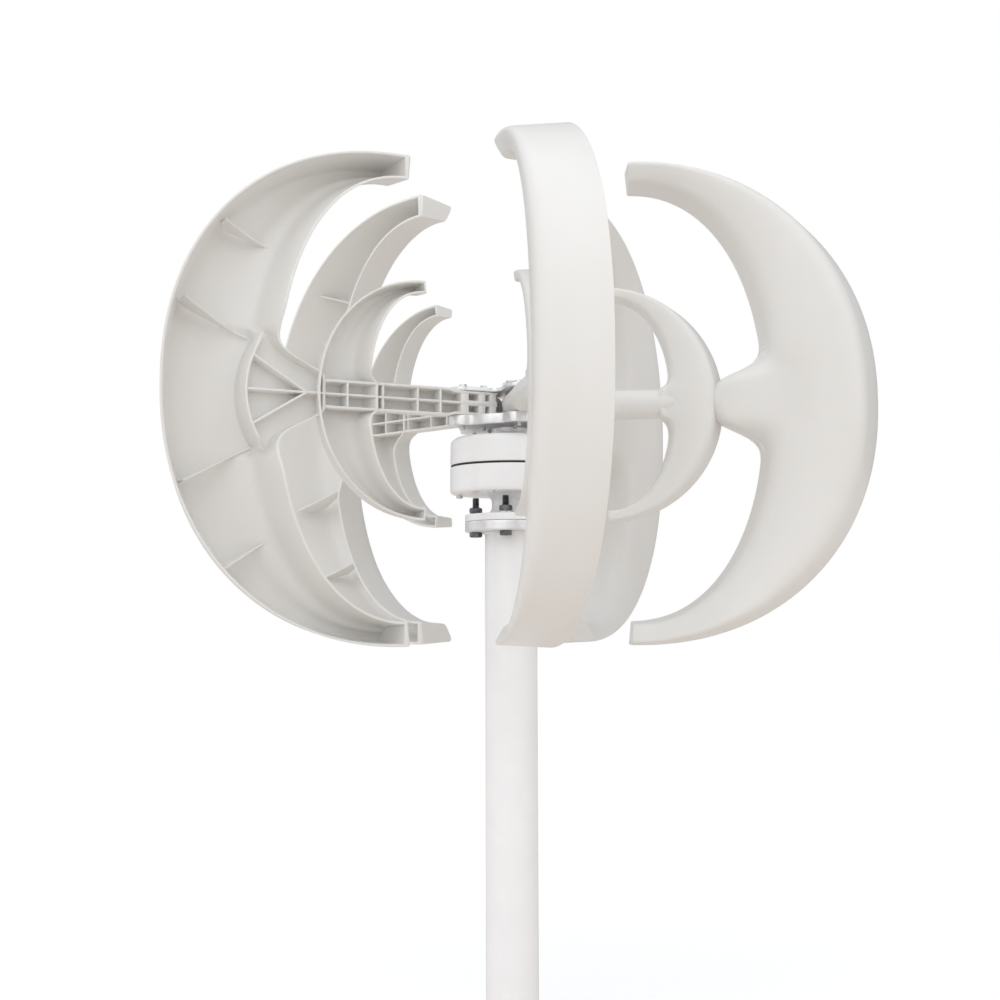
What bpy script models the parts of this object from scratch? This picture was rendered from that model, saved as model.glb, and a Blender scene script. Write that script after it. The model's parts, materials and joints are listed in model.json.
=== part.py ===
"""Vertical axis wind turbine of the lantern type: five moulded blades, each one
a large outer crescent and a small inner crescent on one radial arm, clamped
between two five-lobed hub plates on the shaft of a permanent-magnet generator
that is flanged to a tubular mast.

Units are metres, +Z is up, the origin is the centre of the mast foot and the
rotor turns about the Z axis.  MM turns the millimetre constants into metres.
"""
import math

import bpy
import bmesh
import numpy as np
from mathutils import Matrix

MM = 0.001
FIT = 0.3                      # clearance left between neighbouring pieces

# ---------------------------------------------------------------- heights (mm)
MAST_TOP = 560.0
MAST_FLANGE_Z = (562.0, 573.5)
FOOT_FLANGE_Z = (573.8, 582.0)
NECK_Z = (588.0, 602.0)
HOUSING_BOTTOM_Z = 606.0
SEAM_Z = (636.3, 638.7)
HOUSING_TOP_Z = 671.0
HUB_PLATE_Z = (681.8, 693.5)
ROTOR_Z = 707.6
TOP_PLATE_Z = (721.7, 726.2)

# ------------------------------------------------------------------ mast (mm)
MAST_R = 30.0
MAST_WALL = 3.0
FLANGE_R = 53.0
FLANGE_BORE_R = 14.0
WELD_LEG = 2.2

# ---------------------------------------------------------- flange bolts (mm)
FLANGE_BOLT_COUNT = 4
FLANGE_BOLT_PITCH_R = 41.0
FLANGE_BOLT_START_DEG = -98.0
FLANGE_BOLT_R = 4.0            # M8
FLANGE_HEX_AF = 13.0
FLANGE_HEAD_H = 5.3
FLANGE_NUT_H = 6.5
FLANGE_WASHER_R = 8.0
FLANGE_WASHER_T = 1.6
FLANGE_STUD_END_Z = 602.0
STUD_HOLE_TOP_Z = 600.0

# ------------------------------------------------------------ generator (mm)
HOUSING_R = 70.0
HOUSING_TOP_R = 63.0
HOUSING_CAVITY_R = 59.0
CAVITY_Z = (612.0, 664.0)
LOWER_SEAT_TOP_Z = 621.0
UPPER_SEAT_LOW_Z = 655.0
CABLE_BORE_R = 10.0
CABLE_BORE_Z = (582.0, 584.0)
NECK_R = 22.0
HOUSING_SCREW_COUNT = 4
HOUSING_SCREW_PITCH_R = 63.8
HOUSING_SCREW_R = 2.5          # M5
HOUSING_SCREW_END_Z = 656.0
SHAFT_R = 10.0
SHAFT_STEP_Z = (611.2, 624.0, 716.0)
SHAFT_LOWER_R = 7.2
SHAFT_THREAD_R = 6.0
SHAFT_END_Z = 738.5
LOWER_BEARING = dict(r_in=7.5, r_out=17.5, z=(611.0, 622.0))
UPPER_BEARING = dict(r_in=10.3, r_out=21.0, z=(655.0, 667.0))
STATOR_Z = (626.0, 650.0)
SEAL_Z = (667.7, 670.6)
SEAL_R = 15.3
GROMMET_Z = (586.0, 592.0)

# ------------------------------------------------------------------ hub (mm)
LOBE_COUNT = 5
LOBE_CENTRE_R = 61.0
LOBE_END_R = 15.0
LOBE_VALLEY_R = 34.0
BOTTOM_VALLEY_R = 60.0
HUB_BOLT_RADII = (35.0, 61.0)
HUB_BOLT_R = 2.5               # M5
HUB_BOLT_AF = 8.0
HUB_BOLT_HEAD_H = 3.8
KEY_SIZE = (5.0, 4.4, 9.0)
KEY_LOW_Z = 683.0
HUB_WASHER_R = 12.0
HUB_WASHER_T = 2.0
HUB_NUT_AF = 18.0
HUB_NUT_H = 7.0
BOSS_LOW_Z = 675.5

# --------------------------------------------------------------- blades (mm)
FIRST_BLADE_DEG = 9.2          # from the -Y direction towards +X
ARM_HEIGHT = 27.6
ARM_HALF_DEPTH = 13.8
ARM_ROOT_R = 24.0
RIB_T = 3.2
WALL_T = 3.4
ARM_OUTER_HEIGHT = 32.0
ARM_CROSS_RIBS = (67.0, 123.0, 165.0, 207.0)
STAR_R = 254.0
FAN_R = 322.0
OUTER = dict(arc_r=143.0, arc_h=276.0, arc_deg=91.5, in_r=136.0, in_a=154.0,
             in_h=248.0, in_pow=2.2, tip_w=28.0, rim_t=(18.0, 28.0),
             lead_t=(-42.0, -41.0), out_back=(3.0, 20.0), out_round=(9.0, 33.0),
             in_t=(-30.0, -28.0), in_back=(3.0, 12.0), in_round=(4.0, 16.0),
             out_pow=2.17, tip_slant=9.0, stations=11)
INNER = dict(arc_r=108.5, arc_h=136.0, arc_deg=88.0, in_r=112.0, in_a=72.0,
             in_h=121.0, in_pow=2.2, tip_w=15.0, rim_t=(13.0, 22.0),
             lead_t=(-15.0, -17.5), out_back=(2.0, 9.0), out_round=(4.0, 15.0),
             in_t=(-13.0, -13.0), in_back=(2.0, 6.0), in_round=(2.0, 6.0),
             out_pow=2.05, tip_slant=3.0, stations=7)
GUSSETS = ((343.0, 181.0, 276.0, 159.0), (384.0, 93.0, 312.0, 60.0),
           (384.0, -100.0, 307.0, -60.0), (340.0, -192.0, 272.0, -153.0))
GUSSET_T = 3.0


# ------------------------------------------------------------------ materials
def make_material(name, color, metallic, roughness):
    """A plain Principled material for one piece."""
    mat = bpy.data.materials.new(name)
    mat.use_nodes = True
    shader = mat.node_tree.nodes["Principled BSDF"]
    shader.inputs["Base Color"].default_value = (*color, 1.0)
    shader.inputs["Metallic"].default_value = metallic
    shader.inputs["Roughness"].default_value = roughness
    mat.diffuse_color = (*color, 1.0)
    return mat


FINISHES = {
    "blade_plastic": ((0.88, 0.87, 0.84), 0.0, 0.35),
    "white_paint": ((0.86, 0.86, 0.87), 0.0, 0.40),
    "cast_aluminium": ((0.70, 0.71, 0.73), 1.0, 0.45),
    "zinc_steel": ((0.60, 0.61, 0.63), 1.0, 0.35),
    "dark_steel": ((0.22, 0.22, 0.23), 1.0, 0.45),
    "bearing_steel": ((0.66, 0.67, 0.69), 1.0, 0.20),
    "black_rubber": ((0.03, 0.03, 0.03), 0.0, 0.70),
    "copper_winding": ((0.72, 0.36, 0.16), 1.0, 0.40),
    "laminated_steel": ((0.30, 0.30, 0.31), 1.0, 0.55),
    "magnet": ((0.45, 0.45, 0.47), 1.0, 0.30),
}


# -------------------------------------------------------------- mesh helpers
def add_object(name, verts, faces, finish, smooth_deg=35.0):
    """Make one object from millimetre vertices and faces, normals outward."""
    mesh = bpy.data.meshes.new(name)
    bm = bmesh.new()
    made = [bm.verts.new((v[0] * MM, v[1] * MM, v[2] * MM)) for v in verts]
    for face in faces:
        bm.faces.new([made[i] for i in face])
    bmesh.ops.recalc_face_normals(bm, faces=bm.faces[:])
    bm.to_mesh(mesh)
    bm.free()
    obj = bpy.data.objects.new(name, mesh)
    bpy.context.scene.collection.objects.link(obj)
    if finish:
        color, metallic, roughness = FINISHES[finish]
        mesh.materials.append(make_material(name, color, metallic, roughness))
    finish_shading(obj, smooth_deg)
    return obj


def finish_shading(obj, smooth_deg):
    """Smooth shading with the real edges kept sharp."""
    for poly in obj.data.polygons:
        poly.use_smooth = True
    obj.data.set_sharp_from_angle(angle=math.radians(smooth_deg))


def lofted(name, loops, finish=None, smooth_deg=35.0):
    """Closed solid through loops of equal point count, capped at both ends."""
    count = len(loops[0])
    verts = [p for loop in loops for p in loop]
    faces = []
    for k in range(len(loops) - 1):
        for i in range(count):
            j = (i + 1) % count
            a, b = k * count, (k + 1) * count
            faces.append((a + i, a + j, b + j, b + i))
    faces.append(tuple(range(count))[::-1])
    last = (len(loops) - 1) * count
    faces.append(tuple(last + i for i in range(count)))
    return add_object(name, verts, faces, finish, smooth_deg)


def ringed(name, loops, finish=None, smooth_deg=35.0):
    """Closed ring through loops of equal point count, last joined to first."""
    count = len(loops[0])
    verts = [p for loop in loops for p in loop]
    faces = []
    for k in range(len(loops)):
        a, b = k * count, ((k + 1) % len(loops)) * count
        for i in range(count):
            j = (i + 1) % count
            faces.append((a + i, a + j, b + j, b + i))
    return add_object(name, verts, faces, finish, smooth_deg)


def circle(radius, z, count, centre=(0.0, 0.0), turn=0.0):
    """Points of a level circle."""
    pts = []
    for i in range(count):
        a = 2.0 * math.pi * i / count + turn
        pts.append((centre[0] + radius * math.cos(a), centre[1] + radius * math.sin(a), z))
    return pts


def hexagon(across_flats, z, count, centre=(0.0, 0.0), turn=0.0):
    """Points of a level hexagon, spread at equal angles (count is 6 or 12)."""
    pts = []
    for i in range(count):
        a = 2.0 * math.pi * i / count
        off = (a + math.pi / 6.0) % (math.pi / 3.0) - math.pi / 6.0
        radius = across_flats / 2.0 / math.cos(math.pi / 6.0 - abs(off))
        x, y = radius * math.cos(a + turn), radius * math.sin(a + turn)
        pts.append((centre[0] + x, centre[1] + y, z))
    return pts


def turned(name, profile, finish, count=40, centre=(0.0, 0.0)):
    """Body of revolution from (radius, z) pairs; open at the axis when both
    ends reach a radius above zero, so the profile must then be a closed ring."""
    return ringed(name, [circle(r, z, count, centre) for r, z in profile], finish)


def cut(target, cutter):
    """Take one solid out of another and drop the cutter."""
    combine(target, cutter, "DIFFERENCE")


def join(target, other):
    """Merge a second solid into the first and drop the second."""
    combine(target, other, "UNION")


def combine(target, other, operation):
    modifier = target.modifiers.new(operation.lower(), "BOOLEAN")
    modifier.operation = operation
    modifier.solver = "EXACT"
    modifier.object = other
    depsgraph = bpy.context.evaluated_depsgraph_get()
    done = bpy.data.meshes.new_from_object(target.evaluated_get(depsgraph))
    target.modifiers.clear()
    old = target.data
    target.data = done
    bpy.data.meshes.remove(old)
    used = other.data
    bpy.data.objects.remove(other)
    bpy.data.meshes.remove(used)


def tidy_mesh(obj, smooth_deg):
    """Weld stray duplicates left by the joins and shade the result."""
    bm = bmesh.new()
    bm.from_mesh(obj.data)
    bmesh.ops.remove_doubles(bm, verts=bm.verts[:], dist=0.02 * MM)
    bmesh.ops.dissolve_degenerate(bm, edges=bm.edges[:], dist=0.02 * MM)
    bmesh.ops.triangulate(bm, faces=bm.faces[:])
    bmesh.ops.recalc_face_normals(bm, faces=bm.faces[:])
    bm.to_mesh(obj.data)
    bm.free()
    finish_shading(obj, smooth_deg)


def drill(obj, radius, z_low, z_high, centre, count=12, turn=0.0):
    """Round hole parallel to Z."""
    cutter = lofted("cutter", [circle(radius, z_low, count, centre, turn),
                               circle(radius, z_high, count, centre, turn)])
    cut(obj, cutter)


def box(name, low, high, finish=None):
    """Axis-aligned block between two corners."""
    loops = []
    for z in (low[2], high[2]):
        loops.append([(low[0], low[1], z), (high[0], low[1], z),
                      (high[0], high[1], z), (low[0], high[1], z)])
    return lofted(name, loops, finish)


def polar(radius, degrees):
    """Plan position; the angle runs from the -Y direction towards +X."""
    a = math.radians(degrees)
    return (radius * math.sin(a), -radius * math.cos(a))


# ----------------------------------------------------------------------- mast
def build_mast():
    turned("mast_tube", [(MAST_R, 0.0), (MAST_R, MAST_TOP),
                         (MAST_R - MAST_WALL, MAST_TOP), (MAST_R - MAST_WALL, 0.0)],
           "white_paint", 24)
    weld_in = MAST_R + FIT
    turned("mast_weld", [(weld_in, MAST_FLANGE_Z[0] - FIT - WELD_LEG),
                         (weld_in + WELD_LEG, MAST_FLANGE_Z[0] - FIT),
                         (weld_in, MAST_FLANGE_Z[0] - FIT)], "white_paint", 24)
    z0, z1 = MAST_FLANGE_Z
    flange = turned("mast_flange", [(FLANGE_R, z0), (FLANGE_R, z1), (FLANGE_BORE_R, z1),
                                    (FLANGE_BORE_R, z0)],
                    "cast_aluminium", 24)
    for centre in flange_bolt_places():
        drill(flange, FLANGE_BOLT_R + 0.6, z0 - 5.0, z1 + 5.0, centre)
    tidy_mesh(flange, 30.0)


def flange_bolt_places():
    step = 360.0 / FLANGE_BOLT_COUNT
    return [polar(FLANGE_BOLT_PITCH_R, FLANGE_BOLT_START_DEG + step * k)
            for k in range(FLANGE_BOLT_COUNT)]


def build_flange_bolts():
    head_top = MAST_FLANGE_Z[0] - FIT
    washer_z = FOOT_FLANGE_Z[1] + FIT
    nut_z = washer_z + FLANGE_WASHER_T + FIT
    for k, centre in enumerate(flange_bolt_places(), start=1):
        flat_in = math.atan2(centre[1], centre[0]) + math.pi / 6.0
        lofted("flange_bolt_%d" % k, [
            hexagon(FLANGE_HEX_AF, head_top - FLANGE_HEAD_H, 12, centre, flat_in),
            hexagon(FLANGE_HEX_AF, head_top, 12, centre, flat_in),
            circle(FLANGE_BOLT_R, head_top, 12, centre, flat_in),
            circle(FLANGE_BOLT_R, FLANGE_STUD_END_Z, 12, centre, flat_in)], "dark_steel")
        ringed("flange_washer_%d" % k, [
            circle(FLANGE_WASHER_R, washer_z, 12, centre),
            circle(FLANGE_WASHER_R, washer_z + FLANGE_WASHER_T, 12, centre),
            circle(FLANGE_BOLT_R + 0.6, washer_z + FLANGE_WASHER_T, 12, centre),
            circle(FLANGE_BOLT_R + 0.6, washer_z, 12, centre)], "zinc_steel")
        ringed("flange_nut_%d" % k, [
            hexagon(FLANGE_HEX_AF, nut_z, 12, centre, flat_in),
            hexagon(FLANGE_HEX_AF, nut_z + FLANGE_NUT_H, 12, centre, flat_in),
            circle(FLANGE_BOLT_R + 0.5, nut_z + FLANGE_NUT_H, 12, centre, flat_in),
            circle(FLANGE_BOLT_R + 0.5, nut_z, 12, centre, flat_in)], "dark_steel")


# ------------------------------------------------------------------ generator
def build_lower_housing():
    z0, z1 = FOOT_FLANGE_Z
    hb = HOUSING_BOTTOM_Z
    pocket = LOWER_BEARING["r_out"] + FIT
    bearing_z = LOWER_BEARING["z"][0] - FIT
    body = turned("lower_housing", [
        (FLANGE_R, z0), (FLANGE_R, z1), (NECK_R + 5.0, z1), (NECK_R, NECK_Z[0]),
        (NECK_R, NECK_Z[1]), (NECK_R + 4.0, hb), (HOUSING_R - 2.0, hb),
        (HOUSING_R, hb + 2.0), (HOUSING_R, SEAM_Z[0]), (HOUSING_CAVITY_R, SEAM_Z[0]),
        (HOUSING_CAVITY_R, CAVITY_Z[0]), (pocket + 5.0, CAVITY_Z[0]),
        (pocket + 5.0, LOWER_SEAT_TOP_Z), (pocket, LOWER_SEAT_TOP_Z), (pocket, bearing_z),
        (CABLE_BORE_R, bearing_z), (CABLE_BORE_R, CABLE_BORE_Z[1]),
        (FLANGE_BORE_R, CABLE_BORE_Z[0]), (FLANGE_BORE_R, z0)], "white_paint", 24)
    for centre in flange_bolt_places():
        drill(body, FLANGE_BOLT_R + 0.6, z0 - 5.0, STUD_HOLE_TOP_Z, centre)
    for centre in housing_screw_places():
        drill(body, HOUSING_SCREW_R + 0.5, hb - 5.0, SEAM_Z[0] + 5.0, centre, 8)
    tidy_mesh(body, 30.0)


def housing_screw_places():
    step = 360.0 / HOUSING_SCREW_COUNT
    return [polar(HOUSING_SCREW_PITCH_R, -20.0 + step * k) for k in range(HOUSING_SCREW_COUNT)]


def build_upper_housing():
    zt = HOUSING_TOP_Z
    pocket = UPPER_BEARING["r_out"] + FIT
    bearing_top = UPPER_BEARING["z"][1] + FIT
    body = turned("upper_housing", [
        (HOUSING_R, SEAM_Z[1]), (HOUSING_R - 1.5, CAVITY_Z[1]), (HOUSING_TOP_R, zt),
        (SEAL_R + FIT, zt), (SEAL_R + FIT, bearing_top), (pocket, bearing_top),
        (pocket, UPPER_SEAT_LOW_Z), (pocket + 4.0, UPPER_SEAT_LOW_Z),
        (pocket + 4.0, CAVITY_Z[1]), (HOUSING_CAVITY_R - 4.0, CAVITY_Z[1]),
        (HOUSING_CAVITY_R, CAVITY_Z[1] - 4.0), (HOUSING_CAVITY_R, SEAM_Z[1])],
        "white_paint", 24)
    for centre in housing_screw_places():
        drill(body, HOUSING_SCREW_R + 0.5, SEAM_Z[1] - 5.0, HOUSING_SCREW_END_Z + 1.0, centre, 8)
    tidy_mesh(body, 30.0)


def build_generator_details():
    z0, z1 = SEAM_Z[0] + FIT, SEAM_Z[1] - FIT
    gasket = turned("housing_gasket", [(HOUSING_R - 1.0, z0), (HOUSING_R - 1.0, z1),
                                       (HOUSING_CAVITY_R + 0.2, z1), (HOUSING_CAVITY_R + 0.2, z0)],
                    "black_rubber", 24)
    for centre in housing_screw_places():
        drill(gasket, HOUSING_SCREW_R + 0.5, z0 - 2.0, z1 + 2.0, centre, 8)
    tidy_mesh(gasket, 30.0)
    head_top = HOUSING_BOTTOM_Z - FIT
    for k, centre in enumerate(housing_screw_places(), start=1):
        lofted("housing_screw_%d" % k, [
            circle(3.9, head_top - 2.6, 8, centre), circle(3.9, head_top, 8, centre),
            circle(HOUSING_SCREW_R, head_top, 8, centre),
            circle(HOUSING_SCREW_R, HOUSING_SCREW_END_Z, 8, centre)], "zinc_steel")
    s0, s1 = STATOR_Z
    turned("stator_core", [(58.0, s0), (58.0, s1), (46.0, s1), (46.0, s0)],
           "laminated_steel", 20)
    turned("stator_winding", [(45.6, s0 - 5.0), (45.6, s1 + 5.0), (40.0, s1 + 5.0),
                              (40.0, s0 - 5.0)], "copper_winding", 20)
    turned("magnet_ring", [(38.8, s0), (38.8, s1), (34.3, s1), (34.3, s0)], "magnet", 20)
    turned("magnet_drum", [(34.0, s0), (34.0, s1), (SHAFT_R + FIT, s1), (SHAFT_R + FIT, s0)],
           "dark_steel", 20)
    low, high = SEAL_Z
    turned("shaft_seal", [(SEAL_R, low), (SEAL_R, high), (SHAFT_R + 0.4, high),
                          (SHAFT_R + 0.4, low)], "black_rubber", 16)
    low, high = GROMMET_Z
    outside = CABLE_BORE_R - FIT
    turned("cable_grommet", [(outside, low), (outside, high), (5.0, high), (5.0, low)],
           "black_rubber", 12)
    for name, spec in (("lower", LOWER_BEARING), ("upper", UPPER_BEARING)):
        build_bearing("bearing_" + name, spec)


def build_bearing(name, spec):
    """Deep-groove ball bearing: two races and the ball set held in its cage."""
    z0, z1 = spec["z"]
    r_in, r_out = spec["r_in"], spec["r_out"]
    third = (r_out - r_in) / 3.2
    turned(name + "_outer_race", [(r_out, z0), (r_out, z1), (r_out - third, z1),
                                  (r_out - third, z0)], "bearing_steel", 20)
    turned(name + "_inner_race", [(r_in + third, z0), (r_in + third, z1), (r_in, z1),
                                  (r_in, z0)], "bearing_steel", 20)
    low, high = r_in + third + FIT, r_out - third - FIT
    middle, reach = (low + high) / 2.0, (high - low) / 2.0
    balls, count = 5, 20
    loops = []
    for side, z in ((1.0, z0 + 3.0), (1.0, z1 - 3.0), (-1.0, z1 - 3.0), (-1.0, z0 + 3.0)):
        loop = []
        for i in range(count):
            a = 2.0 * math.pi * i / count
            bulge = 0.35 + 0.65 * max(0.0, math.cos(balls * a))
            radius = middle + side * reach * bulge
            loop.append((radius * math.cos(a), radius * math.sin(a), z))
        loops.append(loop)
    ringed(name + "_ball_cage", loops, "bearing_steel", 60.0)


def build_shaft():
    count = 16
    low, step, neck = SHAFT_STEP_Z
    body = lofted("shaft", [
        circle(SHAFT_LOWER_R, low, count), circle(SHAFT_LOWER_R, step, count),
        circle(SHAFT_R, step, count), circle(SHAFT_R, neck, count),
        circle(SHAFT_THREAD_R, neck, count),
        circle(SHAFT_THREAD_R, SHAFT_END_Z, count)], "zinc_steel")
    wide, _, tall = KEY_SIZE
    key_top = KEY_LOW_Z + tall
    cut(body, box("cutter", (-wide / 2 - FIT, SHAFT_R - 2.2, KEY_LOW_Z - FIT),
                  (wide / 2 + FIT, SHAFT_R + 5.0, key_top + FIT)))
    tidy_mesh(body, 30.0)
    box("shaft_key", (-wide / 2, SHAFT_R - 1.9, KEY_LOW_Z),
        (wide / 2, SHAFT_R + 2.5, key_top), "dark_steel")


# ------------------------------------------------------------------------ hub
def lobed_outline(end_r, valley_r, offsets):
    """Plan outline of a hub plate: five round-ended lobes joined by a core."""
    half_end = math.asin(end_r / LOBE_CENTRE_R)
    outline = []
    for lobe in range(LOBE_COUNT):
        for off in sorted(set([-o for o in offsets] + list(offsets))) + [36.0]:
            a = math.radians(abs(off))
            if a <= half_end:
                reach = LOBE_CENTRE_R * math.sin(a)
                radius = LOBE_CENTRE_R * math.cos(a) + math.sqrt(end_r ** 2 - reach ** 2)
            else:
                radius = end_r / math.sin(a)
            outline.append(polar(max(radius, valley_r), FIRST_BLADE_DEG + 72.0 * lobe + off))
    return outline


def hub_bolt_places():
    return [polar(radius, FIRST_BLADE_DEG + 72.0 * lobe)
            for lobe in range(LOBE_COUNT) for radius in HUB_BOLT_RADII]


def build_hub():
    z0, z1 = HUB_PLATE_Z
    outline = lobed_outline(LOBE_END_R, BOTTOM_VALLEY_R, (0.0, 7.0, 12.0, 14.0, 24.0))
    plate = lofted("hub_bottom_plate", [
        [(x, y, z0) for x, y in outline],
        [(x, y, z1) for x, y in outline]], "cast_aluminium")
    join(plate, lofted("boss", [circle(20.0, BOSS_LOW_Z, 20), circle(22.0, z0 + 3.0, 20)]))
    low, high = BOSS_LOW_Z - 5.0, z1 + 5.0
    drill(plate, SHAFT_R + 0.45, low, high, (0.0, 0.0), 20)
    wide = KEY_SIZE[0]
    cut(plate, box("cutter", (-wide / 2 - FIT, 5.0, low), (wide / 2 + FIT, SHAFT_R + 2.9, high)))
    for centre in hub_bolt_places():
        drill(plate, HUB_BOLT_R + 0.5, z0 - 3.0, z1 + 3.0, centre, 8)
    tidy_mesh(plate, 30.0)

    t0, t1 = TOP_PLATE_Z
    outline = lobed_outline(LOBE_END_R, LOBE_VALLEY_R, (0.0, 8.5, 14.0, 26.2))
    top = lofted("hub_top_plate", [[(x, y, t0) for x, y in outline],
                                   [(x, y, t1) for x, y in outline]], "cast_aluminium")
    drill(top, SHAFT_THREAD_R + 0.45, t0 - 3.0, t1 + 3.0, (0.0, 0.0), 20)
    for centre in hub_bolt_places():
        drill(top, HUB_BOLT_R + 0.5, t0 - 3.0, t1 + 3.0, centre, 8)
    tidy_mesh(top, 30.0)

    head_z = t1 + FIT
    for k, centre in enumerate(hub_bolt_places(), start=1):
        lofted("hub_bolt_%d" % k, [
            circle(HUB_BOLT_R, z0 - 3.5, 6, centre), circle(HUB_BOLT_R, head_z, 6, centre),
            hexagon(HUB_BOLT_AF, head_z, 6, centre),
            hexagon(HUB_BOLT_AF, head_z + HUB_BOLT_HEAD_H, 6, centre)], "zinc_steel")
    bore = SHAFT_THREAD_R + 0.45
    washer_z = (t1 + FIT, t1 + FIT + HUB_WASHER_T)
    ringed("hub_washer", [circle(HUB_WASHER_R, washer_z[0], 16),
                          circle(HUB_WASHER_R, washer_z[1], 16),
                          circle(bore, washer_z[1], 16),
                          circle(bore, washer_z[0], 16)], "zinc_steel")
    nut_z = (washer_z[1] + FIT, washer_z[1] + FIT + HUB_NUT_H)
    ringed("hub_nut", [hexagon(HUB_NUT_AF, nut_z[0], 12), hexagon(HUB_NUT_AF, nut_z[1], 12),
                       circle(SHAFT_THREAD_R + 0.6, nut_z[1], 12),
                       circle(SHAFT_THREAD_R + 0.6, nut_z[0], 12)], "zinc_steel")


# --------------------------------------------------------------------- blades
def crescent_rails(spec, place):
    """Outer and inner profile points (r, h) at the place -1..1 along the arc."""
    theta = place * math.radians(spec["arc_deg"])
    power = 2.0 / spec["out_pow"]
    c, s = math.cos(theta), math.sin(theta)
    outer = (spec["arc_r"] + spec["arc_h"] * math.copysign(abs(c) ** power, c),
             spec["arc_h"] * math.copysign(abs(s) ** power, s))
    quarter = place * math.pi / 2.0
    power = 2.0 / spec["in_pow"]
    c, s = abs(math.cos(quarter)), math.sin(quarter)
    inner = (spec["in_r"] + spec["in_a"] * c ** power,
             math.copysign(spec["in_h"] * abs(s) ** power, s))
    return outer, inner


def crescent_section(spec, width, inset, extra):
    """Open skin of the channel section as (w, t): from the outer rim round the
    leading side to the inner rim; inset moves it inwards by a wall thickness."""
    full = spec["arc_r"] + spec["arc_h"] - spec["in_r"] - spec["in_a"]
    share = min(1.0, max(0.0, (width - spec["tip_w"]) / (full - spec["tip_w"]))) ** 0.7

    def mix(key):
        low, high = spec[key]
        return low + (high - low) * share

    rim, lead, in_t = mix("rim_t"), mix("lead_t"), mix("in_t")
    r_out, r_in = mix("out_round"), mix("in_round")
    corners = [(width, rim + extra), (width - mix("out_back"), lead),
               (mix("in_back"), in_t), (0.0, rim + extra)]
    if inset:
        corners = offset_open(corners, inset, rim + extra)
        r_out, r_in = max(1.5, r_out - inset), max(1.5, r_in - inset)
    points = [corners[0]]
    points += rounded(corners[0], corners[1], corners[2], r_out, 2)
    points += rounded(corners[1], corners[2], corners[3], r_in, 1)
    points.append(corners[3])
    return points


def offset_open(corners, inset, end_t):
    """Shift the three straight walls inwards and meet them again."""
    lines = []
    for a, b in zip(corners[:-1], corners[1:]):
        dx, dy = b[0] - a[0], b[1] - a[1]
        length = math.hypot(dx, dy)
        nx, ny = dy / length, -dx / length
        lines.append(((a[0] + nx * inset, a[1] + ny * inset), (dx, dy)))
    first = cross_level(lines[0], end_t)
    last = cross_level(lines[2], end_t)
    return [first, cross_lines(lines[0], lines[1]), cross_lines(lines[1], lines[2]), last]


def cross_level(line, level):
    (px, py), (dx, dy) = line
    k = (level - py) / dy
    return (px + dx * k, level)


def cross_lines(one, two):
    (px, py), (dx, dy) = one
    (qx, qy), (ex, ey) = two
    k = ((qx - px) * ey - (qy - py) * ex) / (dx * ey - dy * ex)
    return (px + dx * k, py + dy * k)


def rounded(before, corner, after, radius, pieces):
    """Points of a fillet between two straight walls."""
    a = np.array(before) - np.array(corner)
    b = np.array(after) - np.array(corner)
    la, lb = np.linalg.norm(a), np.linalg.norm(b)
    reach = min(radius, 0.6 * la, 0.45 * lb)
    p0, p2 = np.array(corner) + a / la * reach, np.array(corner) + b / lb * reach
    points = []
    for i in range(pieces + 1):
        u = i / pieces
        p = (1 - u) ** 2 * p0 + 2 * u * (1 - u) * np.array(corner) + u ** 2 * p2
        points.append((float(p[0]), float(p[1])))
    return points


def crescent_solid(name, spec, inset=0.0, extra=0.0, reach=1.0, finish=None):
    """Sweep of the channel section along the crescent (closed on the open side)."""
    loops = []
    count = spec["stations"]
    for k in range(count):
        place = reach * math.sin((2.0 * k / (count - 1) - 1.0) * math.pi / 2.0 * 0.72)
        place /= math.sin(math.pi / 2.0 * 0.72)
        outer, inner = crescent_rails(spec, place)
        width = math.hypot(outer[0] - inner[0], outer[1] - inner[1])
        er, eh = (outer[0] - inner[0]) / width, (outer[1] - inner[1]) / width
        loop = []
        for w, t in crescent_section(spec, width, inset, extra):
            slant = spec["tip_slant"] * abs(place) ** 6 * (spec["rim_t"][0] - min(t, 18.0)) / 60.0
            loop.append((inner[0] + er * w + slant, t, inner[1] + eh * w))
        loops.append(loop)
    return lofted(name, loops, finish, 40.0)


def build_crescent(name, spec, wall, finish=None):
    """Channel-section crescent closed at both tips."""
    body = crescent_solid(name, spec, finish=finish)
    cut(body, crescent_solid("cutter", spec, wall, 9.0, 0.985))
    return body


def arm_body():
    """Radial arm: half-round leading side, flat trailing side, opening out into
    the fan that carries the outer crescent."""
    root, full = ARM_HEIGHT / 2.0, ARM_OUTER_HEIGHT / 2.0
    stations = ((ARM_ROOT_R, root, 13.8), (78.0, root, 13.8), (84.0, full, 13.8),
                (228.0, full, 13.8), (250.0, 25.0, 14.5), (270.0, 40.0, 18.5),
                (290.0, 68.0, 26.5), (305.0, 58.0, 29.5), (FAN_R, 12.0, 29.5))
    loops = []
    for r, half, depth in stations:
        loop = [(r, ARM_HALF_DEPTH, -half), (r, ARM_HALF_DEPTH, half)]
        for i in range(5):
            a = math.pi / 2.0 - math.pi * i / 4.0
            loop.append((r, -depth * math.cos(a) - 0.01, half * math.sin(a)))
        loops.append(loop)
    return lofted("arm", loops)


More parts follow.
